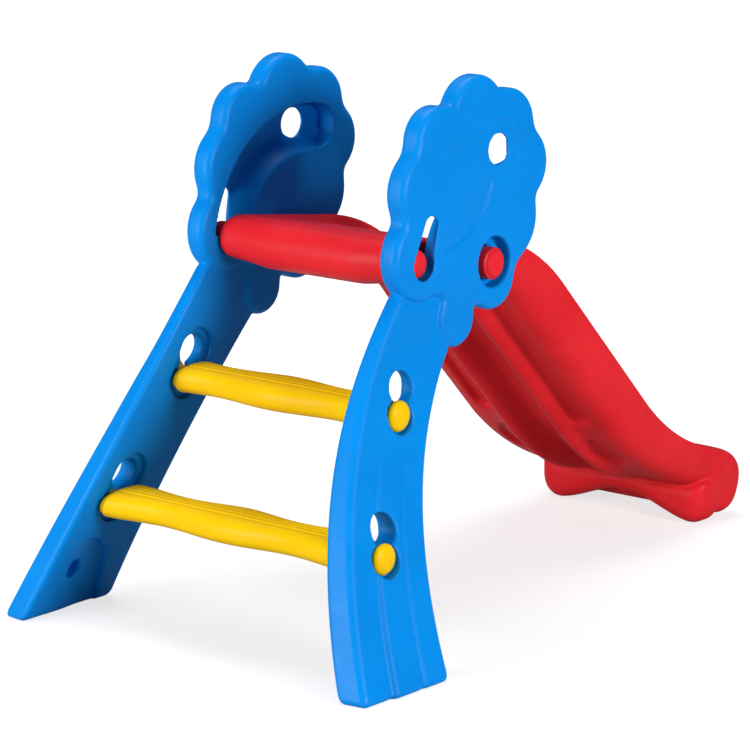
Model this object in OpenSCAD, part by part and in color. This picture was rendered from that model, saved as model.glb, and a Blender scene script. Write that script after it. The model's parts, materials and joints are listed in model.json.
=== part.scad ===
// Folding toddler slide: two scalloped side panels, two lift-in steps and a
// one-piece deck and chute that hinges between the panels on its own pegs.
// X runs from the ladder to the chute's exit, Z is up, the panels mirror about Y = 0.

/* [Slide] */
// Width of the deck and chute, between the panels
deck_w = 288; // [240:1:340]
// Thickness of the deck
deck_t = 58; // [50:1:66]
// Height of the hinge pegs above the floor
pivot_z = 468; // [400:1:560]
// Distance from the hinge peg to the rear peg
peg_gap = 148; // [135:1:160]
// Fall of the deck towards the chute, in degrees
deck_tilt = 7.4; // [0:0.1:10]
// Steepest angle of the chute, in degrees
chute_tilt = 45.4; // [40:0.2:48]
// Thickness of the chute from rail top to underside
chute_t = 72; // [64:1:80]
// Height of the rails above the sliding surface
rail_h = 30; // [20:1:36]
// Width of each rail
rail_w = 26; // [20:1:32]
// Radius of the bend from deck to chute
crest_r = 286; // [230:1:340]
// Radius of the run-out at the foot of the chute
runout_r = 380; // [320:1:460]
// Radius of the rounded exit lip
lip_r = 46; // [36:1:50]

/* [Pegs] */
// Radius of the hinge pegs
pivot_peg_r = 21; // [16:0.5:24]
// Radius of the rear pegs
rear_peg_r = 18; // [14:0.5:20]

/* [Panels] */
// Thickness of the scalloped crown
crown_t = 31.5; // [28:0.5:38]
// Gap between the chute's side and the panel's inner face
side_gap = 3; // [1:0.5:5]
// Outward lean of the crown for each millimetre of drop
crown_lean = 0.022; // [0:0.001:0.03]
// Half of the stance at the floor, to the outside of the foot
stance_half = 314; // [270:1:360]
// Thickness of the foot along Y
foot_t = 46.5; // [38:0.5:52]
// Length of the foot along X
foot_l = 162; // [140:1:180]

/* [Steps] */
// Thickness of each step
step_t = 36; // [28:1:42]
// Depth of each step along X
step_d = 80; // [64:1:90]
// Height of the lower step's middle
lower_step_z = 152; // [125:1:180]
// Height of the upper step's middle
upper_step_z = 308; // [270:1:330]
// Radius of the knobs that lock a step
knob_r = 20; // [16:0.5:22]
// Radius of the neck behind each knob
neck_r = 12; // [9:0.5:14]

/* [Clearances] */
// Gap round a neck in its keyhole
neck_gap = 1; // [0.5:0.1:2]
// Gap between a step's end and the panel
end_gap = 1.5; // [1:0.1:3]
// Gap round a rear peg in its seat
seat_gap = 1; // [0.5:0.1:2]
// Gap round a hinge peg in its bearing
pivot_gap = 1; // [0.5:0.1:2]

/* [Hidden] */
$fn = 72;
over = 1;
far_away = 2000;
blue = [0, 0.5, 0.86];
red = [0.88, 0.1, 0.13];
yellow = [1, 0.8, 0];

// Arcs, Bezier curves and the normal of a surface that falls by a degrees
function arc(c, r, a0, a1, n) =
    [for (i = [0:n]) let (a = a0 + (a1 - a0) * i / n) c + r * [sin(a), cos(a)]];
function bezier(p, n) = [for (i = [0:n]) let (t = i / n, s = 1 - t)
    s * s * s * p[0] + 3 * s * s * t * p[1] + 3 * s * t * t * p[2] + t * t * t * p[3]];
function normal(a) = [sin(a), cos(a)];
function along(a) = [cos(a), -sin(a)];
function flip(list) = [for (i = [len(list) - 1:-1:0]) list[i]];

// Hinge, rear peg and the parked place of the rear peg when folded
pivot_x = 415;
pivot = [pivot_x, pivot_z];
rear_peg = pivot - peg_gap * along(deck_tilt);
fold_angle = 85;
heel = 7.4;
parked_peg = pivot + peg_gap * normal(deck_tilt + fold_angle - 90);

// Rail-top line: deck, crest bend, straight chute, run-out bend and lip
crest_x = 27;
crest_start = pivot + crest_x * along(deck_tilt) + deck_t / 2 * normal(deck_tilt);
crest_c = crest_start - crest_r * normal(deck_tilt);
chute_top = crest_c + crest_r * normal(chute_tilt);
exit_tilt = 17;
lip_clear = 8;
lip_run = 54;
lip_z = lip_r + lip_clear;
exit_z = lip_z + lip_r * cos(exit_tilt) + lip_run * sin(exit_tilt);
runout_fall = runout_r * (cos(exit_tilt) - cos(chute_tilt));
chute_len = (chute_top[1] - exit_z - runout_fall) / sin(chute_tilt);
chute_end = chute_top + chute_len * along(chute_tilt);
runout_c = chute_end + runout_r * normal(chute_tilt);
exit_point = runout_c - runout_r * normal(exit_tilt);
lip = exit_point + lip_run * along(exit_tilt) - lip_r * normal(exit_tilt);
total_l = heel + lip[0] + lip_r;

// Depth below the rail top at the deck, the chute and the exit
under_exit = 60;
under = [deck_t, chute_t, under_exit];
trough_exit = 16;
trough = [0, rail_h, trough_exit];
rib_drop = 12;
rib = [deck_t, chute_t + rib_drop, under_exit + 2];
channel_half = 40;
rib_out = channel_half + 44;
channel_roof = 20;
channel = [deck_t, rail_h + channel_roof, trough_exit + channel_roof];

// Line that runs below the rail top by depths d, bend by bend
function crest_line(d, n) = [for (i = [0:n]) let (a = deck_tilt + (chute_tilt - deck_tilt) * i / n)
    crest_c + (crest_r - d[0] - (d[1] - d[0]) * i / n) * normal(a)];
function runout_line(d, n) = [for (i = [0:n]) let (a = chute_tilt + (exit_tilt - chute_tilt) * i / n)
    runout_c - (runout_r + d[1] + (d[2] - d[1]) * i / n) * normal(a)];
function exit_end(d) = [exit_point + lip_run * along(exit_tilt) - d[2] * normal(exit_tilt)];
function chute_line(d) = concat(crest_line(d, 14), runout_line(d, 12), exit_end(d));

// Side outline between the rail top, or trough, and an underside, with a rounded rear bar
rear_bar = arc(rear_peg, deck_t / 2, deck_tilt - 180, deck_tilt, 14);
module side_outline(top, bottom) {
    polygon(concat(rear_bar, chute_line(top), flip(chute_line(bottom))));
    translate(lip) circle(lip_r);
}
module across(y0, y1) {
    rotate([90, 0, 0]) translate([0, 0, -y1]) linear_extrude(y1 - y0) children();
}

// Toe bar: two lobes on the floor with an arch between them
arch_h = 28;
toe_len = 64;
toe_top = 66;
toe_inset = 4;
toe_r = 26;
toe_x = lip[0] - 35;
module toe_bar() {
    half = deck_w / 2 - toe_inset;
    translate([toe_x + toe_len / 2, 0, 0]) rotate([90, 0, -90]) linear_extrude(toe_len) {
        for (s = [-1, 1]) translate([s * (half - toe_r), toe_r]) circle(toe_r);
        translate([toe_r - half, arch_h]) square([2 * (half - toe_r), toe_top - arch_h]);
    }
}

// Pegs moulded on the deck's sides; the rear ones are domed, the hinge ones chamfered
inner_half = deck_w / 2 + side_gap;
outer_half = inner_half + crown_t;
lean_z = pivot_z + 72;
function crown_out(z) = outer_half - crown_lean * (z - lean_z);
wall = 4;
track_y = outer_half - wall;
rear_peg_y = track_y - 1;
pivot_peg_y = crown_out(pivot_z) - 5;
peg_chamfer = 4;
tip_flat = 0.5;
module pegs() {
    for (s = [0, 1]) mirror([0, s, 0]) {
        translate([rear_peg[0], 0, rear_peg[1]]) rotate([-90, 0, 0]) rotate_extrude() intersection() {
            square([rear_peg_r, rear_peg_y]);
            translate([0, rear_peg_y + tip_flat - 2 * rear_peg_r]) circle(2 * rear_peg_r);
        }
        translate([pivot[0], 0, pivot[1]]) rotate([-90, 0, 0]) rotate_extrude()
            polygon([[0, 0], [pivot_peg_r, 0], [pivot_peg_r, pivot_peg_y - peg_chamfer],
                [pivot_peg_r - peg_chamfer, pivot_peg_y], [0, pivot_peg_y]]);
    }
}

module slide() {
    color(red) origin_shift() {
        across(-channel_half, channel_half) side_outline(trough, channel);
        for (s = [0, 1]) mirror([0, s, 0]) {
            across(channel_half, rib_out) side_outline(trough, rib);
            across(rib_out, deck_w / 2 - rail_w) side_outline(trough, under);
            across(deck_w / 2 - rail_w, deck_w / 2) side_outline([0, 0, 0], under);
        }
        toe_bar();
        pegs();
    }
}

// Drawn from a line that the heels reach behind, then centred on the part's length
module origin_shift() {
    translate([heel - total_l / 2, 0, 0]) children();
}

// Crown outline: nine lobes round a core whose corners are the valleys, placed from the hinge
lobe_places = [[-32, 192, 55], [34, 173, 50], [63, 121, 49], [32, 54, 58], [-1, -18, 42],
    [-80, -60, 37], [-147, 28, 56], [-132, 109, 57], [-111, 170, 46]];
valleys = [[-83, 214], [19, 223], [85, 168], [93, 76], [44, -13], [-38, -54], [-98, -97],
    [-182, -20], [-190, 82], [-163, 164]];
module crown_outline() {
    translate(pivot) {
        for (p = lobe_places) translate([p[0], p[1]]) circle(p[2]);
        polygon(valleys);
    }
}

// Leg outline: two arcs that bow back from the crown to the foot
back_r = 1102;
back_lean = 13.84;
front_r = 668;
front_lean = 6.5;
leg_top_z = pivot_z - 8;
function leg_edge(x, r, a) = let (c = [x + r * cos(a), -r * sin(a)])
    [for (i = [0:16]) let (z = leg_top_z * i / 16) [c[0] - sqrt(r * r - pow(z - c[1], 2)), z]];
module leg_outline() {
    polygon(concat(leg_edge(-heel, back_r, back_lean), flip(leg_edge(foot_l - heel, front_r, front_lean))));
}

// Splay: leg faces curve from the wide foot up to the crown, as seen along X
slope_out = 0.46;
slope_in = 0.44;
leg_relief = 4;
function splay(foot_y, top_y, slope) = bezier([[foot_y, 0], [foot_y - slope * leg_top_z / 2, leg_top_z / 2],
    [top_y + crown_lean * 60, leg_top_z * 0.74], [top_y, leg_top_z]], 16);
inner_foot = stance_half - foot_t;
leg_out = splay(stance_half, crown_out(leg_top_z) - leg_relief, slope_out);
leg_in = splay(inner_foot, crown_out(leg_top_z) - crown_t + leg_relief, slope_in);
function side_at(line, z) = lookup(z, [for (p = line) [p[1], p[0]]]);
module band(inside, outside) {
    translate([-heel, 0, 0]) rotate([90, 0, 90]) linear_extrude(total_l)
        polygon(concat(inside, flip(outside)));
}

// Step places: near the middle of the leg at each height
function leg_mid(z) = (lookup(z, [for (p = leg_edge(-heel, back_r, back_lean)) [p[1], p[0]]])
    + lookup(z, [for (p = leg_edge(foot_l - heel, front_r, front_lean)) [p[1], p[0]]])) / 2;
lower_step_shift = -7;
upper_step_shift = 5;
lower_step_at = [leg_mid(lower_step_z) + lower_step_shift, lower_step_z];
upper_step_at = [leg_mid(upper_step_z) + upper_step_shift, upper_step_z];
keyhole_up = 35;
keyhole_tilt = 20;
keyhole_r = knob_r + 1;
seat_r = knob_r + 3;
seat_deep = 9;
pocket_r = 30;
pocket_deep = 8;
arch_at = [76, 61];
arch_foot = [88, -20];
arch_r = 41;
blind_at = [65, 61];
blind_r = 13;
blind_deep = 24;
function seat_y(z) = side_at(leg_out, z) - seat_deep;

// Rounded link between two circles of one radius, drawn flat
module link(a, b, r) {
    d = (b - a) / norm(b - a) * r;
    for (p = [a, b]) translate(p) circle(r);
    polygon([a + [d[1], -d[0]], b + [d[1], -d[0]], b + [-d[1], d[0]], a + [-d[1], d[0]]]);
}
function capsule(a, b, r) = let (t = atan2(b[0] - a[0], b[1] - a[1]))
    concat(arc(b, r, t - 90, t + 90, 12), arc(a, r, t + 90, t + 270, 12));
module keyhole(at) {
    top = at + keyhole_up * [sin(keyhole_tilt), cos(keyhole_tilt)];
    across(0, far_away) {
        translate(top) circle(keyhole_r);
        link(at, top, neck_r + neck_gap);
    }
    across(seat_y(at[1]), far_away) link(at, at + 6 * (top - at) / norm(top - at), seat_r);
    inner_pocket() polygon(capsule(at, top, pocket_r));
}

// Shallow pocket sunk into the leg's inner face, which follows the splay
module inner_pocket() {
    intersection() {
        across(0, far_away) children();
        band([[0, 0], [0, leg_top_z]], [for (p = leg_in) [p[0] + pocket_deep, p[1]]]);
    }
}

// Arc track on the inner face that the rear peg follows while the chute folds
track_half = 29;
track_end = 65;
module track_outline() {
    rest_angle = 180 - deck_tilt;
    reach = 2 * peg_gap;
    intersection() {
        translate(pivot) difference() {
            circle(peg_gap + track_half);
            circle(peg_gap - track_half);
        }
        translate(pivot) polygon(concat([[0, 0]],
            [for (i = [0:4]) let (a = track_end + (rest_angle - track_end) * i / 4) reach * [cos(a), sin(a)]]));
    }
    translate(rear_peg) circle(rear_peg_r + seat_gap);
}

hinge_recess = 18;
hinge_recess_r = pivot_peg_r + 12;
slot_top = [15, 48];
slot_r = 16;
window_r = 21;
module side_panel() {
    color(blue) origin_shift() difference() {
        union() {
            intersection() {
                across(0, far_away) crown_outline();
                band([[crown_out(0) - crown_t, 0], [crown_out(far_away) - crown_t, far_away]],
                    [[crown_out(0), 0], [crown_out(far_away), far_away]]);
            }
            intersection() {
                across(0, far_away) leg_outline();
                band(leg_in, leg_out);
            }
        }
        across(0, track_y) track_outline();
        across(0, far_away) {
            link(rear_peg, rear_peg + slot_top, slot_r);
            translate(parked_peg) circle(window_r);
            translate(pivot) circle(pivot_peg_r + pivot_gap);
        }
        across(crown_out(pivot_z) - hinge_recess, far_away) translate(pivot) circle(hinge_recess_r);
        inner_pocket() polygon(capsule(arch_foot, arch_at, arch_r));
        across(0, side_at(leg_in, blind_at[1]) + blind_deep) translate(blind_at) circle(blind_r);
        keyhole(lower_step_at);
        keyhole(upper_step_at);
    }
}
module left_side_panel() { side_panel(); }
module right_side_panel() { mirror([0, 1, 0]) side_panel(); }

// Step: a rounded tread with ridges, collars, necks and domed knobs
tread_ridges = 5;
ridge_r = 2.5;
module step(at) {
    z0 = at[1] - step_t / 2;
    z1 = at[1] + step_t / 2;
    half0 = side_at(leg_in, z0) - end_gap;
    half1 = side_at(leg_in, z1) - end_gap;
    corner = 12;
    knob_t = 13;
    dome_r = 2 * knob_r;
    color(yellow) origin_shift() {
        difference() {
            translate([at[0] - step_d / 2, 0, 0]) rotate([90, 0, 90]) linear_extrude(step_d)
                polygon([[-half0, z0], [half0, z0], [half1, z1], [-half1, z1]]);
            across(-far_away, far_away) difference() {
                translate([at[0] - step_d, z0 - corner]) square([2 * step_d, step_t + 2 * corner]);
                link([at[0] - step_d / 2 + step_t / 2, at[1]], [at[0] + step_d / 2 - step_t / 2, at[1]],
                    step_t / 2);
            }
        }
        pitch = (step_d - step_t) / (tread_ridges - 1);
        for (i = [0:tread_ridges - 1])
            across(-half1 + corner, half1 - corner)
                translate([at[0] - (step_d - step_t) / 2 + pitch * i, z1 - 1]) circle(ridge_r);
        for (s = [0, 1]) mirror([0, s, 0]) translate([at[0], 0, at[1]]) rotate([-90, 0, 0]) {
            cylinder(r = neck_r, h = seat_y(at[1]) + over);
            translate([0, 0, seat_y(at[1])]) rotate_extrude() intersection() {
                square([knob_r, knob_t]);
                translate([0, knob_t - dome_r]) circle(dome_r);
            }
        }
    }
}
module upper_step() { step(upper_step_at); }
module lower_step() { step(lower_step_at); }

left_side_panel();
right_side_panel();
slide();
upper_step();
lower_step();
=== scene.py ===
import bpy
import json
import math
import numpy as np
from mathutils import Matrix, Vector


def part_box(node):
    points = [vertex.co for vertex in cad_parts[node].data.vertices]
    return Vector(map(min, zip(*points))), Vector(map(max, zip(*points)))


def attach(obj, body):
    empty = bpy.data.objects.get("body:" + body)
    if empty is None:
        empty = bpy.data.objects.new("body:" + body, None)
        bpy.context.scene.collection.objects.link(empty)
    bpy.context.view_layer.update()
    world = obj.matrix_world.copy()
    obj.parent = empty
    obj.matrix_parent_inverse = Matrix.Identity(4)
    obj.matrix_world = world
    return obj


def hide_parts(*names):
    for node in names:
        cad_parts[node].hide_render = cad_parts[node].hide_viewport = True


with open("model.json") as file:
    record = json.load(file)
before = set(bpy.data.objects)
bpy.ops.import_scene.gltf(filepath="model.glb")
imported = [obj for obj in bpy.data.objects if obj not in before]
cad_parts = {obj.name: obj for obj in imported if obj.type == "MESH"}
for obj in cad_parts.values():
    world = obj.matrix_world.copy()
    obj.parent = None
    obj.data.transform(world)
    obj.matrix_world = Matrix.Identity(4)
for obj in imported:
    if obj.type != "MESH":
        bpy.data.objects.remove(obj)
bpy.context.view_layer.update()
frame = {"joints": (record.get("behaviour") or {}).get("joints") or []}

mm = 0.001
hinge = [v / mm for v in frame["joints"][0]["pos_m"]]
heel = 7.4  # the heels reach this far behind the line that shapes are measured from
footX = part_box("left_side_panel")[0].x / mm + heel
hingeX, hingeZ = hinge[0] - footX, hinge[2]
print("frame loaded, hinge at", round(hingeX, 1), round(hingeZ, 1))


def smoothStep(v):  # 3v^2 - 2v^3 after v is held between 0 and 1
    v = np.clip(v, 0, 1)
    return v * v * (3 - 2 * v)


def smoothMin(a, b, k):  # lesser of two distances, with a fillet about k wide where they meet
    h = np.clip(0.5 + 0.5 * (b - a) / k, 0, 1)
    return b + (a - b) * h - k * h * (1 - h)


def smoothMax(a, b, k):  # greater of two distances, filleted in the same way
    return -smoothMin(-a, -b, k)


def circleGap(x, z, centre, radius):  # distance to a circle, negative inside
    return np.hypot(x - centre[0], z - centre[1]) - radius


def capsuleGap(x, z, a, b, ra, rb):  # distance to the line a-b, less a radius that runs from ra to rb
    dx, dz = b[0] - a[0], b[1] - a[1]
    t = np.clip(((x - a[0]) * dx + (z - a[1]) * dz) / (dx * dx + dz * dz), 0, 1)
    return np.hypot(x - a[0] - t * dx, z - a[1] - t * dz) - (ra + (rb - ra) * t)


def roundedPlate(outline, slab, radius):  # a flat outline made thick, its edges rounded by radius
    a, b = outline + radius, slab + radius
    return np.minimum(np.maximum(a, b), 0) + np.hypot(np.maximum(a, 0), np.maximum(b, 0)) - radius


def normalWay(tilt):  # unit vector (sine, cosine), square to a surface that falls by tilt
    return np.array([math.sin(tilt), math.cos(tilt)])


def alongWay(tilt):  # unit vector (cosine, less the sine), down that surface
    return np.array([math.cos(tilt), -math.sin(tilt)])


# Surface where field is zero: each grid cell that the surface crosses gets one point, the mean
# of its edge crossings, and the four cells round a crossed edge share a face
def levelSurface(field, low, high, cell, rounds=3):
    axes = [np.arange(a, b + cell, cell) for a, b in zip(low, high)]
    grid = np.stack(np.meshgrid(*axes, indexing="ij"), -1)
    value = field(grid[..., 0], grid[..., 1], grid[..., 2])
    inside = value < 0
    size = np.array(value.shape) - 1
    total, count, crossed = np.zeros((*size, 3)), np.zeros(size), []
    for axis in range(3):
        near, far = [slice(None)] * 3, [slice(None)] * 3
        near[axis], far[axis] = slice(None, -1), slice(1, None)
        near, far = tuple(near), tuple(far)
        cut = inside[near] != inside[far]
        share = value[near] / np.where(cut, value[near] - value[far], 1)
        point = grid[near].copy()
        point[..., axis] += cell * share
        p, q = [k for k in range(3) if k != axis]
        for u in (0, 1):
            for v in (0, 1):
                part = [slice(None)] * 3
                part[p], part[q] = slice(u, size[p] + u), slice(v, size[q] + v)
                part = tuple(part)
                total += point[part] * cut[part][..., None]
                count += cut[part]
        crossed.append((cut, p, q))
    used = count > 0
    number = np.full(size, -1)
    number[used] = np.arange(used.sum())
    points = total[used] / count[used][:, None]
    faces = []
    for axis, (cut, p, q) in enumerate(crossed):
        edge = np.argwhere(cut)
        edge = edge[(edge[:, p] > 0) & (edge[:, p] < size[p]) & (edge[:, q] > 0) & (edge[:, q] < size[q])]
        ring = []
        for u, v in ((-1, -1), (0, -1), (0, 0), (-1, 0)):
            step = np.zeros(3, int)
            step[p], step[q] = u, v
            ring.append(number[tuple((edge + step).T)])
        ring = np.stack(ring, 1)
        outward = inside[tuple(edge.T)] ^ (axis == 1)
        faces.append(np.where(outward[:, None], ring, ring[:, ::-1]))
    faces = np.concatenate(faces)
    for _ in range(rounds):
        points = pullToSurface(field, evenOut(points, faces), cell)
    return points, faces


def evenOut(points, faces):  # each point moves halfway to the mean of its neighbours
    a, b = faces.ravel(), np.roll(faces, 1, 1).ravel()
    a, b = np.concatenate([a, b]), np.concatenate([b, a])
    n = np.bincount(a, minlength=len(points))
    mean = np.stack([np.bincount(a, points[b, k], len(points)) for k in range(3)], 1) / n[:, None]
    return (points + mean) / 2


def pullToSurface(field, points, cell, tries=3):  # point less value times slope over slope squared
    d = cell / 12
    for _ in range(tries):
        x, y, z = points.T
        slope = np.stack([field(x + d, y, z) - field(x - d, y, z),
                          field(x, y + d, z) - field(x, y - d, z),
                          field(x, y, z + d) - field(x, y, z - d)], 1) / (2 * d)
        move = slope * (field(x, y, z) / np.maximum((slope ** 2).sum(1), 0.05))[:, None]
        reach = np.linalg.norm(move, axis=1)[:, None]
        points = points - move * np.minimum(1, cell / 2 / np.maximum(reach, 1e-9))
    return points


# Closed skin over rings of points: rows of a grid joined round and along, each end closed by a point
def skin(rings):
    rows, columns = rings.shape[:2]
    points = np.concatenate([rings.reshape(-1, 3), rings[:1].mean(1), rings[-1:].mean(1)])
    i, j = np.meshgrid(np.arange(rows - 1), np.arange(columns), indexing="ij")
    k = (j + 1) % columns
    quads = np.stack([i * columns + j, i * columns + k, (i + 1) * columns + k, (i + 1) * columns + j], -1)
    j = np.arange(columns)
    k = (j + 1) % columns
    first, last = rows * columns, rows * columns + 1
    ends = [np.stack([k, j, np.full(columns, first)], 1),
            np.stack([j + first - columns, k + first - columns, np.full(columns, last)], 1)]
    return points, [quads.reshape(-1, 4), *ends]


# Mesh from points in millimetres and groups of faces, moved to the frame's origin and tied to its body
def makePiece(name, points, faces, material, body, node):
    mesh = bpy.data.meshes.new(name)
    points = np.asarray(points, float) * mm
    points[:, 0] += footX * mm
    loops = np.concatenate([f.ravel() for f in faces])
    sizes = np.concatenate([np.full(len(f), f.shape[1]) for f in faces])
    mesh.vertices.add(len(points))
    mesh.vertices.foreach_set("co", points.ravel())
    mesh.loops.add(len(loops))
    mesh.loops.foreach_set("vertex_index", loops.astype(np.int32))
    mesh.polygons.add(len(sizes))
    mesh.polygons.foreach_set("loop_start", (np.cumsum(sizes) - sizes).astype(np.int32))
    mesh.polygons.foreach_set("use_smooth", np.ones(len(sizes), bool))
    mesh.update(calc_edges=True)
    mesh.validate()
    mesh.materials.append(material)
    obj = bpy.data.objects.new(name, mesh)
    bpy.context.scene.collection.objects.link(obj)
    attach(obj, body)
    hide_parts(node)
    print(name, len(points), "points,", len(sizes), "faces")
    return obj


def socketOf(group, name, way, kind, value=None):  # adds one socket to a node group
    s = group.interface.new_socket(name=name, in_out=way, socket_type=kind)
    if value is not None:
        s.default_value = value


def addNode(tree, kind, inputs=(), **settings):  # a node whose inputs are links or plain values
    n = tree.nodes.new(kind)
    for key, value in settings.items():
        setattr(n, key, value)
    for key, value in dict(inputs).items():
        if isinstance(value, bpy.types.NodeSocket):
            tree.links.new(value, n.inputs[key])
        else:
            n.inputs[key].default_value = value
    return n


# Pebbled skin of a blown moulding: fine noise plus a broad, low swell, as one height
def mouldGrainGroup():
    g = bpy.data.node_groups.new("mouldGrain", "ShaderNodeTree")
    socketOf(g, "Vector", "INPUT", "NodeSocketVector")
    socketOf(g, "Fine Scale", "INPUT", "NodeSocketFloat", 420.0)
    socketOf(g, "Swell Scale", "INPUT", "NodeSocketFloat", 16.0)
    socketOf(g, "Swell", "INPUT", "NodeSocketFloat", 0.5)
    socketOf(g, "Height", "OUTPUT", "NodeSocketFloat")
    i, o = g.nodes.new("NodeGroupInput"), g.nodes.new("NodeGroupOutput")
    fine = addNode(g, "ShaderNodeTexNoise", {
        "Vector": i.outputs["Vector"], "Scale": i.outputs["Fine Scale"], "Detail": 2.0, "Roughness": 0.6})
    broad = addNode(g, "ShaderNodeTexNoise", {
        "Vector": i.outputs["Vector"], "Scale": i.outputs["Swell Scale"], "Detail": 1.0})
    swell = addNode(g, "ShaderNodeMath", {0: broad.outputs["Fac"], 1: i.outputs["Swell"]},
                    operation="MULTIPLY")
    total = addNode(g, "ShaderNodeMath", {0: fine.outputs["Fac"], 1: swell.outputs[0]}, operation="ADD")
    g.links.new(total.outputs[0], o.inputs["Height"])
    return g


# Colour clouding: two close shades of the plastic, mixed by broad noise
def cloudedColourGroup():
    g = bpy.data.node_groups.new("cloudedColour", "ShaderNodeTree")
    socketOf(g, "Vector", "INPUT", "NodeSocketVector")
    socketOf(g, "Colour", "INPUT", "NodeSocketColor", (0.5, 0.5, 0.5, 1))
    socketOf(g, "Shade", "INPUT", "NodeSocketColor", (0.4, 0.4, 0.4, 1))
    socketOf(g, "Scale", "INPUT", "NodeSocketFloat", 9.0)
    socketOf(g, "Colour", "OUTPUT", "NodeSocketColor")
    i, o = g.nodes.new("NodeGroupInput"), g.nodes.new("NodeGroupOutput")
    cloud = addNode(g, "ShaderNodeTexNoise", {
        "Vector": i.outputs["Vector"], "Scale": i.outputs["Scale"], "Detail": 3.0, "Roughness": 0.55})
    spread = addNode(g, "ShaderNodeMapRange", {
        "Value": cloud.outputs["Fac"], "From Min": 0.35, "From Max": 0.65})
    mix = addNode(g, "ShaderNodeMix", {"Factor": spread.outputs["Result"]}, data_type="RGBA")
    g.links.new(i.outputs["Colour"], mix.inputs["A"])
    g.links.new(i.outputs["Shade"], mix.inputs["B"])
    g.links.new(mix.outputs["Result"], o.inputs["Colour"])
    return g


# Scuffs: short stretched noise that makes the gloss uneven, from a low to a high roughness
def scuffedGlossGroup():
    g = bpy.data.node_groups.new("scuffedGloss", "ShaderNodeTree")
    socketOf(g, "Vector", "INPUT", "NodeSocketVector")
    socketOf(g, "Low", "INPUT", "NodeSocketFloat", 0.35)
    socketOf(g, "High", "INPUT", "NodeSocketFloat", 0.5)
    socketOf(g, "Roughness", "OUTPUT", "NodeSocketFloat")
    i, o = g.nodes.new("NodeGroupInput"), g.nodes.new("NodeGroupOutput")
    stretch = addNode(g, "ShaderNodeMapping", {"Vector": i.outputs["Vector"], "Scale": (14.0, 22.0, 60.0)})
    scuff = addNode(g, "ShaderNodeTexNoise", {
        "Vector": stretch.outputs["Vector"], "Scale": 1.0, "Detail": 4.0})
    spread = addNode(g, "ShaderNodeMapRange", {
        "Value": scuff.outputs["Fac"], "From Min": 0.3, "From Max": 0.7,
        "To Min": i.outputs["Low"], "To Max": i.outputs["High"]})
    g.links.new(spread.outputs["Result"], o.inputs["Roughness"])
    return g


plastic = {
    "grain": 0.16,  # strength of the pebbled skin
    "grainDeep": 0.0009,  # its height in metres
    "gloss": (0.32, 0.46),  # roughness range
    "shine": 0.14,  # level of its reflections
    "ior": 1.45,
    "blue": ((0.0, 0.262, 0.78, 1), (0.0, 0.24, 0.72, 1)),
    "red": ((0.84, 0.022, 0.03, 1), (0.76, 0.015, 0.022, 1)),
    "yellow": ((1.0, 0.61, 0.0, 1), (0.97, 0.55, 0.0, 1)),
}
groups = {"grain": mouldGrainGroup(), "colour": cloudedColourGroup(), "gloss": scuffedGlossGroup()}


def mouldedPlastic(name, shades):  # clouded colour, uneven gloss and pebbled skin, by Object coordinates
    m = bpy.data.materials.new(name)
    m.use_nodes = True
    t = m.node_tree
    t.nodes.clear()
    place = t.nodes.new("ShaderNodeTexCoord").outputs["Object"]
    tint = addNode(t, "ShaderNodeGroup", node_tree=groups["colour"])
    tint.inputs["Colour"].default_value, tint.inputs["Shade"].default_value = shades
    gloss = addNode(t, "ShaderNodeGroup", node_tree=groups["gloss"])
    gloss.inputs["Low"].default_value, gloss.inputs["High"].default_value = plastic["gloss"]
    grain = addNode(t, "ShaderNodeGroup", node_tree=groups["grain"])
    for n in (tint, gloss, grain):
        t.links.new(place, n.inputs["Vector"])
    bump = addNode(t, "ShaderNodeBump", {
        "Height": grain.outputs["Height"], "Strength": plastic["grain"], "Distance": plastic["grainDeep"]})
    shader = addNode(t, "ShaderNodeBsdfPrincipled", {
        "Base Color": tint.outputs["Colour"], "Roughness": gloss.outputs["Roughness"],
        "Normal": bump.outputs["Normal"], "IOR": plastic["ior"], "Specular IOR Level": plastic["shine"]})
    out = t.nodes.new("ShaderNodeOutputMaterial")
    t.links.new(shader.outputs[0], out.inputs["Surface"])
    return m


bluePlastic = mouldedPlastic("bluePlastic", plastic["blue"])
redPlastic = mouldedPlastic("redPlastic", plastic["red"])
yellowPlastic = mouldedPlastic("yellowPlastic", plastic["yellow"])
print("materials made")


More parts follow.
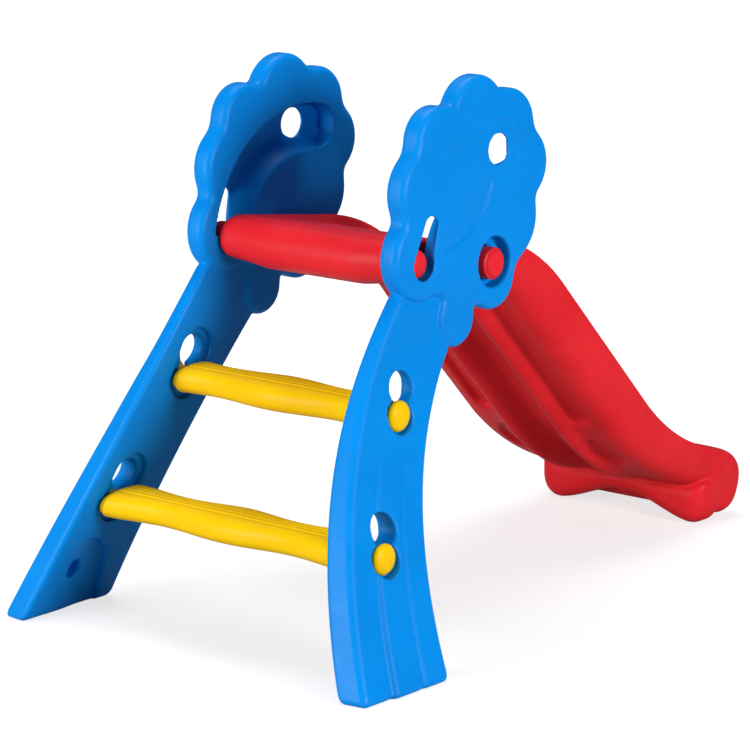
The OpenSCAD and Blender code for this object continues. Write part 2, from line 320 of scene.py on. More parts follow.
# Side panels: a scalloped crown over a leg that bows and flares outward. Lengths are in millimetres;
# places on the crown are measured from the hinge
panel = {
    "cell": 2.3,  # size of the grid that the surface is found on
    "lobes": [(-32, 192, 55), (34, 173, 50), (63, 121, 49), (32, 54, 58), (-1, -18, 42),
              (-80, -60, 37), (-147, 28, 56), (-132, 109, 57), (-111, 170, 46)],  # x, z, radius
    "core": (-45, 72, 118),
    "lobeBlend": 17,
    "crownOuter": 178.5, "crownLean": 0.01, "leanFrom": 72,  # outer face, its lean, height over the hinge
    "crownThick": 31.5, "crownEdge": 10,
    "backArc": (1102, 13.84), "frontArc": (668, 6.5), "footLong": 162,  # radius and lean at the floor
    "stance": 314, "footThick": 46.5, "legTop": 8,  # leg line stops this far under the hinge
    "slopeOut": 0.46, "slopeIn": 0.44,
    "legRelief": 4,  # the leg lies this far under the crown's faces
    "legRise": 20, "legEdge": 9, "footEdge": 10, "draft": 5,  # the inner face is wider than the outer
    "strips": (0.34, 0.68), "stripProud": (5, 6), "stripSunk": 3.5,  # where strips start across the leg
    "stripHigh": 330, "stripBlend": 0.08, "stripCrease": 1.6, "creaseWide": 0.028, "creaseTop": 0.4,
    "dip": (1.3, 1.4, 5), "dipFrom": 300, "dipOver": 60,  # the leg dips beside the crown: depth, more, width
    "hingeBore": 22, "hingeRecess": 33, "hingeRecessDeep": 22, "recessShift": (-3, 3),
    "slotTop": (15, 48), "slotRadii": (18.8, 12),
    "windowRadius": 19.6, "floorThick": 4,
    "trackHalf": 29, "trackEnd": 77, "trackClosing": 22,  # half width, end's angle, closing angle
    "lipWide": 14, "rampHigh": 30, "rampFrom": 18, "rampWide": 30,  # inner side of the track
    "pegSeat": 22,  # flat place round the rear peg
    "keyholeUp": 35, "keyholeTilt": 20, "keyRadius": 21, "seatRadius": 23, "seatDeep": 9, "neckSlot": 13,
    "pocketRadius": 30, "pocketDeep": 8,
    "archPlace": ((76, 61), (88, -20)), "archRadius": 41, "archFade": (40, 0.1, 60),
    "blindHole": (65, 61, 13), "blindDeep": 24,
    "softEdge": 4, "softHole": 5, "softSlot": 3, "softTrack": 1.2,  # fillets of the cuts
    "reliefDeep": 2.7, "reliefArc": (10, 147, 40), "reliefEdge": 2.5,  # relief on the crown's outer face
    "reliefFade": (26, 30), "reliefLevels": (-6, 24, 172, 45), "reliefThin": (0.5, 98, 14),
    "reliefLine": [(-140, -4), (-122, 15), (-98, 29), (-66, 39), (-44, 52), (-24, 71), (-13, 92), (-3, 112),
                   (22, 126)],
}
hold = {"pegGap": 148, "deckTilt": 7.4, "foldAngle": 85}  # rear peg's distance, deck's tilt, travel

deckTilt = math.radians(hold["deckTilt"])
hingePlace = np.array([hingeX, hingeZ])
rearPeg = hingePlace - hold["pegGap"] * alongWay(deckTilt)
parkedPeg = hingePlace + hold["pegGap"] * normalWay(
    math.radians(hold["deckTilt"] + hold["foldAngle"] - 90))
legTopZ = hingeZ - panel["legTop"]


def crownOut(z):  # y of the crown's outer face, less its lean times the height
    return panel["crownOuter"] - panel["crownLean"] * (z - hingeZ - panel["leanFrom"])


# Leg line as a cubic curve: its first arm leans in by slope, its last one stands upright at the crown
def legLine(footY, topY, slope):
    s = np.linspace(0, 1, 60)
    py = [footY, footY - slope * legTopZ / 2, topY + panel["crownLean"] * 60, topY]
    pz = [0, legTopZ / 2, legTopZ * 0.74, legTopZ]
    weight = [(1 - s) ** 3, 3 * s * (1 - s) ** 2, 3 * s * s * (1 - s), s ** 3]
    return sum(w * v for w, v in zip(weight, pz)), sum(w * v for w, v in zip(weight, py))


legOuter = legLine(panel["stance"], crownOut(legTopZ) - panel["legRelief"], panel["slopeOut"])
legInner = legLine(panel["stance"] - panel["footThick"],
                   crownOut(legTopZ) - panel["crownThick"] + panel["legRelief"], panel["slopeIn"])


def lineAt(line, z):  # y on a leg line, carried on straight past its ends
    low, high = (line[1][1] - line[1][0]) / (line[0][1] - line[0][0]), -panel["crownLean"]
    return np.interp(z, *line) + low * np.minimum(z, 0) + high * np.maximum(z - legTopZ, 0)


def panelSpine(z):  # middle of the panel's thickness: the leg's below, the crown's above, blended
    leg = (lineAt(legOuter, z) + lineAt(legInner, z)) / 2
    return leg + smoothStep((z - 370) / 90) * (crownOut(z) - panel["crownThick"] / 2 - leg)


def crownOutline(x, z):  # smooth union of the core circle and the lobes round it
    u, v = x - hingeX, z - hingeZ
    gap = circleGap(u, v, panel["core"], panel["core"][2])
    for lobe in panel["lobes"]:
        gap = smoothMin(gap, circleGap(u, v, lobe, lobe[2]), panel["lobeBlend"])
    return gap


def arcCentre(edge, key):  # centre of a bowed edge that starts at the floor with the given lean
    r, lean = panel[key]
    return edge + r * math.cos(math.radians(lean)), -r * math.sin(math.radians(lean))


backCentre = arcCentre(-heel, "backArc")
frontCentre = arcCentre(panel["footLong"] - heel, "frontArc")


def legOutline(x, z, wider):  # between the bowed edges, above the floor, below the crown's middle
    back = circleGap(x, z, backCentre, panel["backArc"][0])
    front = -circleGap(x, z, frontCentre, panel["frontArc"][0])
    sides = smoothMax(back, front, 4) - wider
    return smoothMax(smoothMax(sides, -z, panel["footEdge"]), z - legTopZ - panel["legRise"], 4)


def legShare(x, z):  # 0 at the leg's back edge, 1 at its front edge
    back = backCentre[0] - np.sqrt(np.maximum(panel["backArc"][0] ** 2 - (z - backCentre[1]) ** 2, 1))
    front = frontCentre[0] - np.sqrt(np.maximum(panel["frontArc"][0] ** 2 - (z - frontCentre[1]) ** 2, 1))
    return (x - back) / (front - back)


stepPlaces = {}
for node in ("lower_step", "upper_step"):
    low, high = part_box(node)
    stepPlaces[node] = ((low.x + high.x) / 2 / mm - footX, low.z / mm + 20.0)
keyholes = []
for node, (x, z) in stepPlaces.items():
    tilt = math.radians(panel["keyholeTilt"])
    keyholes.append(((x, z), (x + panel["keyholeUp"] * math.sin(tilt),
                              z + panel["keyholeUp"] * math.cos(tilt))))
print("steps at", stepPlaces)


reliefPoints = np.array(panel["reliefLine"], float)


# Depth of the outer relief: full beside its S-shaped edge and inside a circle, fading away from both
def crownRelief(u, v):
    level = np.clip(v, reliefPoints[0, 1], reliefPoints[-1, 1])
    fine = np.linspace(reliefPoints[0, 1], reliefPoints[-1, 1], 60)
    edge = np.interp(fine, reliefPoints[:, 1], reliefPoints[:, 0])
    edge = np.convolve(np.pad(edge, 4, "edge"), np.ones(9) / 9, "valid")
    slope = np.gradient(edge, fine)
    line = (u - np.interp(level, fine, edge)) / np.hypot(1, np.interp(level, fine, slope))
    low, lowOver, high, highOver = panel["reliefLevels"]
    fade = np.exp(-np.maximum(-line - 6, 0) / panel["reliefFade"][0])
    fade = fade * smoothStep((v - low) / lowOver) * smoothStep((high - v) / highOver)
    disc = np.hypot(u - panel["reliefArc"][0], v - panel["reliefArc"][1]) - panel["reliefArc"][2]
    depth = np.maximum(smoothStep(-line / panel["reliefEdge"]) * fade,
                       smoothStep(-disc / panel["reliefEdge"]) * np.exp(disc / panel["reliefFade"][1]))
    share, start, over = panel["reliefThin"]  # shallower where the track lies behind
    return panel["reliefDeep"] * depth * (1 - share * smoothStep((np.hypot(u, v) - start) / over))


# The leg's outer face: three strips, proud by different heights near the foot, with creases between
# them, and a dip beside the crown
def legFace(x, z):
    share = legShare(x, z)
    first, second = panel["strips"]
    firstProud, secondProud = panel["stripProud"]
    foot = smoothStep((panel["stripHigh"] - z) / panel["stripHigh"])
    wide = panel["stripBlend"]
    face = lineAt(legOuter, z) - panel["stripSunk"] * foot + foot * (
        firstProud * smoothStep((share - first + 0.03) / wide)
        + (secondProud - firstProud) * smoothStep((share - second + 0.03) / wide))
    crease = (np.exp(-((share - first) / panel["creaseWide"]) ** 2)
              + np.exp(-((share - second) / panel["creaseWide"]) ** 2))
    face = face - panel["stripCrease"] * crease * (panel["creaseTop"] + (1 - panel["creaseTop"]) * foot)
    deep, more, near = panel["dip"]
    beside = np.exp(-(crownOutline(x, z) / near) ** 2)
    return face - smoothStep((z - panel["dipFrom"]) / panel["dipOver"]) * (deep + more * beside)


# The arc track, open to the inner face: a band round the hinge with a round end, whose floor lies just
# inside the outer face and ramps up towards the hinge
def cutTrack(body, x, y, z, outerFace):
    u, v = x - hingeX, z - hingeZ
    angle, radius = np.degrees(np.arctan2(v, u)), np.hypot(u, v)
    start = np.where((v < -60) | (u > 60), 200.0, radius * np.radians(angle - 180 + hold["deckTilt"]))
    inside = hold["pegGap"] - panel["trackHalf"]
    closing = smoothStep((panel["trackEnd"] + panel["trackClosing"] - angle) / panel["trackClosing"])
    band = np.maximum(radius - hold["pegGap"] - panel["trackHalf"],
                      inside - panel["lipWide"] * (1 - closing) - radius)
    end = math.radians(panel["trackEnd"])
    endPlace = hold["pegGap"] * np.array([math.cos(end), math.sin(end)])
    track = np.where(angle < panel["trackEnd"], circleGap(u, v, endPlace, panel["trackHalf"]), band)
    track = np.maximum(track, start)
    ramp = smoothStep((inside + panel["rampFrom"] - radius) / panel["rampWide"])
    floor = outerFace - panel["floorThick"] - panel["rampHigh"] * ramp
    seat = circleGap(x, z, rearPeg, panel["pegSeat"])
    floor = np.where(seat < 0, outerFace - panel["floorThick"], floor)
    return smoothMax(body, -np.maximum(np.minimum(track, seat), y - floor), panel["softTrack"])


def cutPockets(body, x, y, z, inner):  # shallow pockets and a blind hole in the leg's inner face
    soft = panel["softEdge"]
    for at, up in keyholes:
        pocket = capsuleGap(x, z, at, up, panel["pocketRadius"], panel["pocketRadius"])
        body = smoothMax(body, -np.maximum(pocket, y - inner - panel["pocketDeep"]), soft)
    arch = capsuleGap(x, z, *panel["archPlace"], panel["archRadius"], panel["archRadius"])
    start, lean, over = panel["archFade"]
    deep = panel["pocketDeep"] * smoothStep((x - start + z * lean) / over)
    body = smoothMax(body, -np.maximum(arch, y - inner - deep), soft)
    blind = circleGap(x, z, panel["blindHole"], panel["blindHole"][2])
    return smoothMax(body, -np.maximum(blind, y - inner - panel["blindDeep"]), soft)


def cutHoles(body, x, y, z, outerFace):  # slot, window, hinge bearing with its recess, and keyholes
    top = rearPeg + np.array(panel["slotTop"])
    holes = capsuleGap(x, z, rearPeg, top, *panel["slotRadii"])
    holes = np.minimum(holes, circleGap(x, z, parkedPeg, panel["windowRadius"]))
    holes = np.minimum(holes, circleGap(x, z, hingePlace, panel["hingeBore"]))
    body = smoothMax(body, -holes, panel["softEdge"])
    recess = circleGap(x, z, hingePlace + np.array(panel["recessShift"]), panel["hingeRecess"])
    recess = np.maximum(recess, outerFace - panel["hingeRecessDeep"] - y)
    body = smoothMax(body, -recess, panel["softHole"])
    for at, up in keyholes:
        body = smoothMax(body, -circleGap(x, z, up, panel["keyRadius"]), panel["softHole"])
        neck = capsuleGap(x, z, at, up, panel["neckSlot"], panel["neckSlot"])
        body = smoothMax(body, -neck, panel["softSlot"])
        seat = np.maximum(circleGap(x, z, at, panel["seatRadius"]),
                          lineAt(legOuter, at[1]) - panel["seatDeep"] - y)
        body = smoothMax(body, -seat, panel["softSlot"])
    return body


def panelField(x, t, z):  # crown joined to leg, less the cuts; t is the distance out from the spine
    y = panelSpine(z) + t
    outerFace = crownOut(z)
    relief = crownRelief(x - hingeX, z - hingeZ)
    slab = np.maximum(y - outerFace + relief, outerFace - panel["crownThick"] - y)
    crown = roundedPlate(crownOutline(x, z), slab, panel["crownEdge"])
    outer, inner = legFace(x, z), lineAt(legInner, z)
    across = np.clip((outer - y) / 40, 0, 1)
    leg = roundedPlate(legOutline(x, z, panel["draft"] * (across - 0.4)), np.maximum(y - outer, inner - y),
                       panel["legEdge"])
    body = cutTrack(smoothMin(crown, leg, 1), x, y, z, outerFace)
    return cutHoles(cutPockets(body, x, y, z, inner), x, y, z, outerFace)


def sidePanels():  # the left one from its field, the right one as its mirror image
    points, faces = levelSurface(panelField, (-16, -34, -5), (536, 34, hingeZ + 252), panel["cell"])
    points[:, 1] += panelSpine(points[:, 2])
    points[:, 2] = np.maximum(points[:, 2], 0)
    makePiece("leftSidePanel", points, [faces], bluePlastic, "frame", "left_side_panel")
    points[:, 1] *= -1
    makePiece("rightSidePanel", points, [faces[:, ::-1]], bluePlastic, "frame",
              "right_side_panel")


sidePanels()


# Slide: deck, bend, straight chute, run-out and lip along a rail-top line, with toes under the lip
slide = {
    "cell": 3.1,  # size of the grid that the surface is found on
    "half": 144, "sideProud": 1.2,  # half width, and how far the body's side stands past it
    "crestAt": 27,  # start of the bend beyond the hinge
    "crestRadius": 286, "chuteTilt": 45.4, "runoutRadius": 380, "exitTilt": 17, "lipRun": 54,
    "lipRadius": 46, "lipClear": 8, "lipCorner": 22, "lipEdge": 19, "lipBlend": 10,
    "deckThick": 58, "chuteThick": 72, "exitThick": 60,
    "barBelly": 6, "bellyFrom": 132, "bellyOver": 60,  # the rear bar is deeper away from its ends
    "troughDeck": 6, "troughChute": 30, "troughExit": 16, "troughStart": (6, 110), "troughEnd": (10, 70),
    "railWide": 26, "railSlope": 16,
    "topEdge": 14, "underEdge": 44, "barEdge": 8, "barTo": (170, 120),  # edges of the chute and the bar
    "underFrom": 20, "underTo": 10, "underOver": 120,  # stretch of the ribs, channel and grooves
    "ribDrop": 14, "ribAt": 48, "ribWide": 17, "ribFade": 20,
    "channelHalf": 36, "channelSoft": 16, "channelDeep": 15,
    "grooveDeep": 8, "grooveSpan": (62, 104), "grooveEnd": 622, "grooveSoft": 9,  # end: along the rail line
    "pockets": (80, 690, 25, 40),  # place across, along, half sizes of the two short hollows
    "pocketLean": 0.35, "pocketDeep": 6,
    "toeSpan": (938, 1003), "toeArch": 29, "toeEdge": 25, "toeAt": 125, "toeMiddle": 8,
    "toeTop": 66, "toeTopEdge": 10, "toeSide": 34, "toeProud": 1, "toeBlend": 4,
    "pegRadius": 21, "pegProud": 3.4, "pegChamfer": 4.4, "rearPegRadius": 18, "rearPegShort": 2.1,
    "domeHigh": 0.45, "pegColumns": 72, "pegRoot": 110,  # the pegs start this far out, inside the body
}


# Rail-top line: deck, bend, straight chute, run-out bend and lip. The tilt changes evenly along each
# bend, and the places are the running sum of short steps along the tilt
def railLine():
    s = slide
    chuteTilt, exitTilt = math.radians(s["chuteTilt"]), math.radians(s["exitTilt"])
    deckLong = hold["pegGap"] + s["crestAt"]
    start = rearPeg + s["deckThick"] / 2 * normalWay(deckTilt)
    crestStart = start + deckLong * alongWay(deckTilt)
    chuteTop = crestStart + s["crestRadius"] * (normalWay(chuteTilt) - normalWay(deckTilt))
    exitZ = (s["lipRadius"] + s["lipClear"] + s["lipRadius"] * math.cos(exitTilt)
             + s["lipRun"] * math.sin(exitTilt))
    fall = s["runoutRadius"] * (math.cos(exitTilt) - math.cos(chuteTilt))
    chuteLong = (chuteTop[1] - exitZ - fall) / math.sin(chuteTilt)
    ends = np.cumsum([deckLong, s["crestRadius"] * (chuteTilt - deckTilt), chuteLong,
                      s["runoutRadius"] * (chuteTilt - exitTilt), s["lipRun"]])
    tilts = [deckTilt, chuteTilt, chuteTilt, exitTilt]
    path = np.arange(-60, ends[-1] + 120, 0.5)
    tilt = np.interp(path, ends[:4], tilts)
    middle = np.interp((path[1:] + path[:-1]) / 2, ends[:4], tilts)
    x = np.concatenate([[0], np.cumsum(0.5 * np.cos(middle))])
    z = np.concatenate([[0], np.cumsum(-0.5 * np.sin(middle))])
    x, z = x - np.interp(0, path, x) + start[0], z - np.interp(0, path, z) + start[1]
    return ends, path, tilt, x, z


lineEnds, linePath, lineTilt, lineX, lineZ = railLine()


def fromPath(s, h):  # the place that lies h below the rail top at distance s along it
    tilt = np.interp(s, linePath, lineTilt)
    return (np.interp(s, linePath, lineX) - h * np.sin(tilt),
            np.interp(s, linePath, lineZ) - h * np.cos(tilt))


# How far the underside lies below the rail top: ribs drop it; the channel, grooves and hollows raise it
def underDepth(s, a):
    d = slide
    chute = (smoothStep((s - lineEnds[0] - d["underFrom"]) / d["underOver"])
             * smoothStep((lineEnds[3] + d["underTo"] - s) / d["underOver"]))
    thick = np.interp(s, lineEnds[:4], [d["deckThick"], d["chuteThick"], d["chuteThick"], d["exitThick"]])
    belly = (d["barBelly"] * smoothStep((d["bellyFrom"] - a) / d["bellyOver"])
             * smoothStep((lineEnds[0] - s) / d["underOver"]))
    rib = d["ribDrop"] * np.exp(-((a - d["ribAt"]) / d["ribWide"]) ** 2)
    rib = rib * smoothStep((a - d["ribFade"]) / d["ribFade"])
    channel = d["channelDeep"] * smoothStep((d["channelHalf"] - a) / d["channelSoft"])
    near, far = d["grooveSpan"]
    over = np.maximum(s - d["grooveEnd"] + (far - near) / 2, 0)  # the groove's end is half round
    aside = np.hypot(np.abs(a - (near + far) / 2), over) - (far - near) / 2
    groove = d["grooveDeep"] * smoothStep(-aside / d["grooveSoft"])
    across, along, half, long = d["pockets"]
    hollow = np.hypot((a - across) / half, (s - along - d["pocketLean"] * (a - across)) / long)
    groove = groove + d["pocketDeep"] * smoothStep((1 - hollow) / 0.35)
    return thick + belly + chute * (rib - channel - groove), belly


# How far the bed lies below the rail top: nothing on the rails, at the rear bar and on the lip
def troughDepth(s, a):
    d = slide
    depth = np.interp(s, [lineEnds[0] - 60, lineEnds[1], lineEnds[2], lineEnds[3]],
                      [d["troughDeck"], d["troughChute"], d["troughChute"], d["troughExit"]])
    start, startOver = d["troughStart"]
    end, endOver = d["troughEnd"]
    depth = depth * smoothStep((s - start) / startOver)
    depth = depth * smoothStep((d["half"] - d["railWide"] / 2 - a) / d["railSlope"])
    return depth * smoothStep((lineEnds[4] - end - s) / endOver)


# Slide body at distance s along the rail line, y across and h below it: bed and underside with a round
# rear bar, joined to a round lip and to the toes
def slideField(s, y, h):
    d = slide
    a = np.abs(y)
    under, belly = underDepth(s, a)
    low, high = h - under, troughDepth(s, a) - h
    bar = d["deckThick"] / 2 + belly / 2
    rear = np.hypot(s, h - bar) - bar
    low = np.where(s < 0, rear, low)
    high = np.where(s < 0, rear, high)
    low = np.maximum(low, s - lineEnds[4])
    lip = np.hypot(s - lineEnds[4], h - d["lipRadius"]) - d["lipRadius"]
    corner = d["lipCorner"]
    p, q = s - lineEnds[4] - d["lipRadius"] + corner, a - d["half"] - d["sideProud"] + corner
    plan = np.minimum(np.maximum(p, q), 0) + np.hypot(np.maximum(p, 0), np.maximum(q, 0)) - corner
    bare = smoothStep((d["barTo"][0] - s) / d["barTo"][1])  # 1 along the rear bar, with near square ends
    edge = d["underEdge"] + (d["barEdge"] - d["underEdge"]) * bare
    body = smoothMax(smoothMax(low, plan, edge), high, d["topEdge"] * (1 - bare / 2))
    body = smoothMin(body, roundedPlate(lip, plan, d["lipEdge"]), d["lipBlend"])
    return smoothMin(body, toes(*fromPath(s, h), a), d["toeBlend"])


def toes(x, z, a):  # a bar under the lip whose underside arches up between two rounded lobes
    d = slide
    arch = d["toeArch"] * smoothStep((d["toeAt"] - a) / (d["toeAt"] - d["toeMiddle"]))
    first, last = d["toeSpan"]
    outline = smoothMax(smoothMax(arch - z, a - d["half"] - d["toeProud"], d["toeSide"]),
                        z - d["toeTop"], d["toeTopEdge"])
    return roundedPlate(outline, np.abs(x - (first + last) / 2) - (last - first) / 2, d["toeEdge"])


# Peg: rings round Y; a straight side, then a dome of low rise or a chamfer with rounded corners
def peg(place, radius, tip, domed):
    turn = np.linspace(0, 0.5 * math.pi, 14)
    if domed:
        out, r = tip - radius * slide["domeHigh"] * (1 - np.sin(turn)), radius * np.cos(turn)
    else:
        bend = turn[::4]
        out = np.concatenate([tip - 5 + 1.2 * np.sin(bend), tip - 1 + np.sin(bend)])
        r = radius - np.concatenate([1 - np.cos(bend), slide["pegChamfer"] + 1.6 * (1 - np.cos(bend))])
        out, r = np.append(out, tip), np.append(r, 1)
    out = np.concatenate([[slide["pegRoot"], tip - 16], out])
    r = np.maximum(np.concatenate([[radius, radius], r]), 0.05)
    count = slide["pegColumns"]
    around = np.linspace(0, 2 * math.pi, count, endpoint=False)
    return np.stack([place[0] + r[:, None] * np.cos(around), np.broadcast_to(out[:, None], (len(r), count)),
                     place[1] - r[:, None] * np.sin(around)], -1)


def slidePiece():  # the body found along the straightened rail line and bent onto it, and its four pegs
    points, faces = levelSurface(slideField, (-34, -150, -8), (lineEnds[4] + 54, 150, 134), slide["cell"])
    x, z = fromPath(points[:, 0], points[:, 2])
    points = np.stack([x, points[:, 1], np.maximum(z, 0)], 1)
    faces = [faces[:, ::-1]]
    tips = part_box("slide")[1].y / mm
    parts, sets, start = [points], faces, len(points)
    for place, radius, tip, domed in (
            (hingePlace, slide["pegRadius"], tips + slide["pegProud"], False),
            (rearPeg, slide["rearPegRadius"], tips - slide["rearPegShort"], True)):
        for side in (1, -1):
            rings = peg(place, radius, tip, domed)
            rings[..., 1] *= side
            pegPoints, pegFaces = skin(rings[:, ::side])
            parts.append(pegPoints)
            sets += [f + start for f in pegFaces]
            start += len(pegPoints)
    quads = np.concatenate([f for f in sets if f.shape[1] == 4])
    fans = np.concatenate([f for f in sets if f.shape[1] == 3])
    makePiece("slideChute", np.concatenate(parts), [quads, fans], redPlastic, "chute",
              "slide")


slidePiece()


stepShape = {
    "thick": 41, "lift": 0.8, "deep": 82,
    "waist": 11, "wave": 200, "waistThin": 1.6,  # how far the tread narrows and thins, spacing of its waves
    "square": 2.5,  # power of the tread's outline: 2 is an ellipse
    "collar": 10, "collarIn": 3.5, "panelGap": 2,  # inset end of the tread, just clear of the panel
    "grooves": (-0.44, -0.19, 0.06, 0.31, 0.56), "grooveDeep": 2.2,  # place as a share of the half depth
    "grooveWide": 0.045,
    "neckRadius": 12, "knobRadius": 20, "knobThick": 13,
    "rows": 70, "columns": 200,
}


# Step: rings carried along Y; each ring is a superellipse with its own half depth and half height, and
# grooves run along the tread's top
def stepPiece(name, node):
    s = stepShape
    x0, z0 = stepPlaces[node]
    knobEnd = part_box(node)[1].y / mm
    seat = knobEnd - s["knobThick"]
    half = lineAt(legInner, z0) - s["panelGap"]
    slope = (lineAt(legInner, z0 - 18) - lineAt(legInner, z0 + 18)) / 36
    tread = np.linspace(0, half - s["collar"], s["rows"])
    wave = (1 - np.cos(2 * math.pi * tread / s["wave"])) / 2
    wide, high = s["deep"] / 2 - s["waist"] * wave, s["thick"] / 2 - s["waistThin"] * wave
    rows = [(y, w, h, s["square"], 1.0) for y, w, h in zip(tread, wide, high)]
    y, w, h, c = tread[-1], wide[-1], high[-1], s["collarIn"]
    for dy, dr, ridge in ((0.8, 0.3, 0.9), (1.6, 1.2, 0.5), (2, 2.2, 0.1), (2.2, c, 0.0), (5, c, 0.0),
                          (s["collar"] - 2, c, 0), (s["collar"] - 0.6, c + 1, 0), (s["collar"], c + 3, 0)):
        rows.append((y + dy, w - dr, h - dr, s["square"], ridge))
    n, k = s["neckRadius"], s["knobRadius"]
    rows += [(half + 0.3, n + 1, n + 1, 2, 0), (half + 1, n, n, 2, 0), (seat - 0.6, n, n, 2, 0),
             (seat, k - 2.5, k - 2.5, 2, 0), (seat + 0.8, k - 0.8, k - 0.8, 2, 0), (seat + 2.5, k, k, 2, 0)]
    turn = np.linspace(0, 0.5 * math.pi, 14)[1:]
    rows += [(seat + 4 + (s["knobThick"] - 4) * math.sin(v), max(k * math.cos(v), 0.05),
              max(k * math.cos(v), 0.05), 2, 0) for v in turn]
    rows = np.array(rows)
    back = rows[:0:-1].copy()
    back[:, 0] *= -1
    rows = np.concatenate([back, rows])
    y, w, h, power, ridge = (rows[:, i:i + 1] for i in range(5))
    angle = np.linspace(0, 2 * math.pi, s["columns"], endpoint=False)
    cosine, sine = np.cos(angle), np.sin(angle)
    x = w * np.sign(cosine) * np.abs(cosine) ** (2 / power)
    z = h * np.sign(sine) * np.abs(sine) ** (2 / power)
    share = x / np.maximum(w, 1)
    cuts = sum(np.exp(-((share - v) / s["grooveWide"]) ** 2) for v in s["grooves"])
    z = z + s["lift"] * (w > s["knobRadius"] + 1) - ridge * s["grooveDeep"] * cuts * (sine > 0)
    lean = np.where(np.abs(y) > half + 0.1, 0, slope) * z * np.sign(y) * np.minimum(1, np.abs(y) / 40)
    rings = np.stack([x0 + x, y - lean + 0 * x, z0 + z], -1)
    points, faces = skin(rings[:, ::-1])
    quads = faces[0]
    makePiece(name, points, [quads, np.concatenate(faces[1:])], yellowPlastic, "frame",
              node)


stepPiece("upperStep", "upper_step")
stepPiece("lowerStep", "lower_step")


studio = {
    "floor": 0.4, "floorSeen": 0.42,  # its paint as the part gets it and as the eye gets it
    "glowBounce": 0.03, "paintedShadowGlowNear": 0.68, "glowFar": 1.0,  # its own glow, rising with distance; the dimmer glow near the middle is a painted shadow round the parts
    "glowFrom": 0.35, "glowTo": 1.4,  # metres from the middle
    "floorDrop": 0.0004, "floorHalf": 30,
    "world": 0.1, "worldTint": (0.62, 0.8, 1.25, 1),
    "lens": 169.13, "sensor": 36,
    "eye": (-3.63121, -2.89302, 1.32786),
    "yaw": 0.6915136, "pitch": 0.2226245,
    "lamps": [  # place, aimed at, size, watts
        ((-3.2, 1.0, 0.9), (0, 0, 0.35), 2.0, 96),
        ((-0.45, -3.25, 1.05), (0, 0, 0.35), 0.9, 84),
        ((0.4, 0.3, 3.0), (0, 0, 0.3), 1.8, 46),
    ],
}


# Pale floor: a weak diffuse surface plus a glow, so that the eye sees near white with a soft shadow
# while little light bounces up; the glow is dimmer near the middle, which paints a shadow round the parts
def paleFloor():
    m = bpy.data.materials.new("paleFloor")
    m.use_nodes = True
    t = m.node_tree
    t.nodes.clear()
    paint = addNode(t, "ShaderNodeBsdfDiffuse", {"Color": (studio["floor"],) * 3 + (1,)})
    seen = addNode(t, "ShaderNodeLightPath").outputs["Is Camera Ray"]
    place = t.nodes.new("ShaderNodeTexCoord").outputs["Object"]
    away = addNode(t, "ShaderNodeVectorMath", {0: place}, operation="LENGTH")
    # painted shadow: the floor glows less near the middle, which darkens it round the parts
    glowWithPaintedShadow = addNode(t, "ShaderNodeMapRange", {
        "Value": away.outputs["Value"], "From Min": studio["glowFrom"], "From Max": studio["glowTo"],
        "To Min": studio["paintedShadowGlowNear"], "To Max": studio["glowFar"]})
    glow = addNode(t, "ShaderNodeMapRange", {
        "Value": seen, "To Min": studio["glowBounce"], "To Max": glowWithPaintedShadow.outputs["Result"]})
    shine = addNode(t, "ShaderNodeEmission", {"Strength": glow.outputs["Result"]})
    faint = addNode(t, "ShaderNodeMixShader", {0: seen})
    soft = addNode(t, "ShaderNodeBsdfDiffuse", {"Color": (studio["floorSeen"],) * 3 + (1,)})
    t.links.new(paint.outputs[0], faint.inputs[1])
    t.links.new(soft.outputs[0], faint.inputs[2])
    both = addNode(t, "ShaderNodeAddShader", {0: faint.outputs[0], 1: shine.outputs[0]})
    t.links.new(both.outputs[0], addNode(t, "ShaderNodeOutputMaterial").inputs["Surface"])
    return m


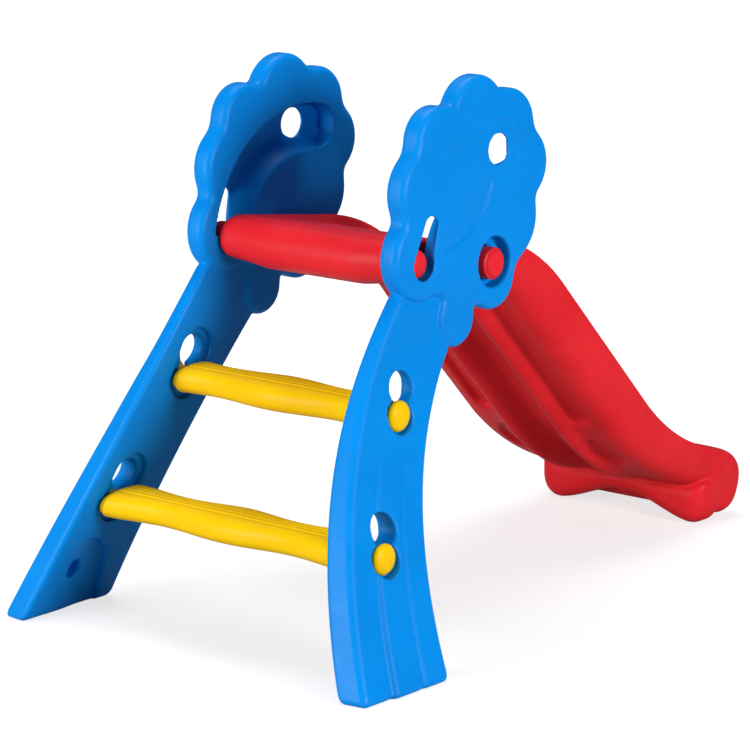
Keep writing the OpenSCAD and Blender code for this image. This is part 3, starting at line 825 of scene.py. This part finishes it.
def studioWorld():  # dim bluish light all round, which the eye sees as white
    world = bpy.data.worlds.new("studioWorld")
    world.use_nodes = True
    t = world.node_tree
    back = t.nodes["Background"]
    seen = addNode(t, "ShaderNodeLightPath").outputs["Is Camera Ray"]
    tint = addNode(t, "ShaderNodeMix", {"Factor": seen}, data_type="RGBA")
    tint.inputs["A"].default_value, tint.inputs["B"].default_value = studio["worldTint"], (1, 1, 1, 1)
    t.links.new(tint.outputs["Result"], back.inputs["Color"])
    level = addNode(t, "ShaderNodeMapRange", {"Value": seen, "To Min": studio["world"], "To Max": 1.0})
    t.links.new(level.outputs["Result"], back.inputs["Strength"])
    return world


def studioSetup():  # floor, world, soft lamps, and the camera turned by yaw and pitch
    scene = bpy.context.scene
    mesh = bpy.data.meshes.new("floor")
    far = studio["floorHalf"]
    mesh.from_pydata([(-far, -far, 0), (far, -far, 0), (far, far, 0), (-far, far, 0)], [], [(0, 1, 2, 3)])
    floor = bpy.data.objects.new("floor", mesh)
    scene.collection.objects.link(floor)
    floor.location.z = -studio["floorDrop"]
    mesh.materials.append(paleFloor())
    scene.world = studioWorld()
    for i, (place, target, size, watts) in enumerate(studio["lamps"]):
        lamp = bpy.data.lights.new(f"softBox{i}", "AREA")
        lamp.size, lamp.energy = size, watts
        obj = bpy.data.objects.new(f"softBox{i}", lamp)
        obj.location = place
        obj.rotation_euler = (Vector(target) - Vector(place)).to_track_quat("-Z", "Y").to_euler()
        scene.collection.objects.link(obj)
    camera = bpy.data.cameras.new("camera")
    camera.lens, camera.sensor_width = studio["lens"], studio["sensor"]
    camera.clip_start, camera.clip_end = 0.1, 100
    obj = bpy.data.objects.new("camera", camera)
    yaw, pitch = studio["yaw"], studio["pitch"]
    forward = Vector((math.cos(pitch) * math.cos(yaw), math.cos(pitch) * math.sin(yaw), -math.sin(pitch)))
    right = Vector((math.sin(yaw), -math.cos(yaw), 0))
    up = right.cross(forward)
    obj.matrix_world = Matrix((
        (right.x, up.x, -forward.x, studio["eye"][0]), (right.y, up.y, -forward.y, studio["eye"][1]),
        (right.z, up.z, -forward.z, studio["eye"][2]), (0, 0, 0, 1)))
    scene.collection.objects.link(obj)
    scene.camera = obj
    scene.view_settings.view_transform = "Standard"


studioSetup()
print("studio set")
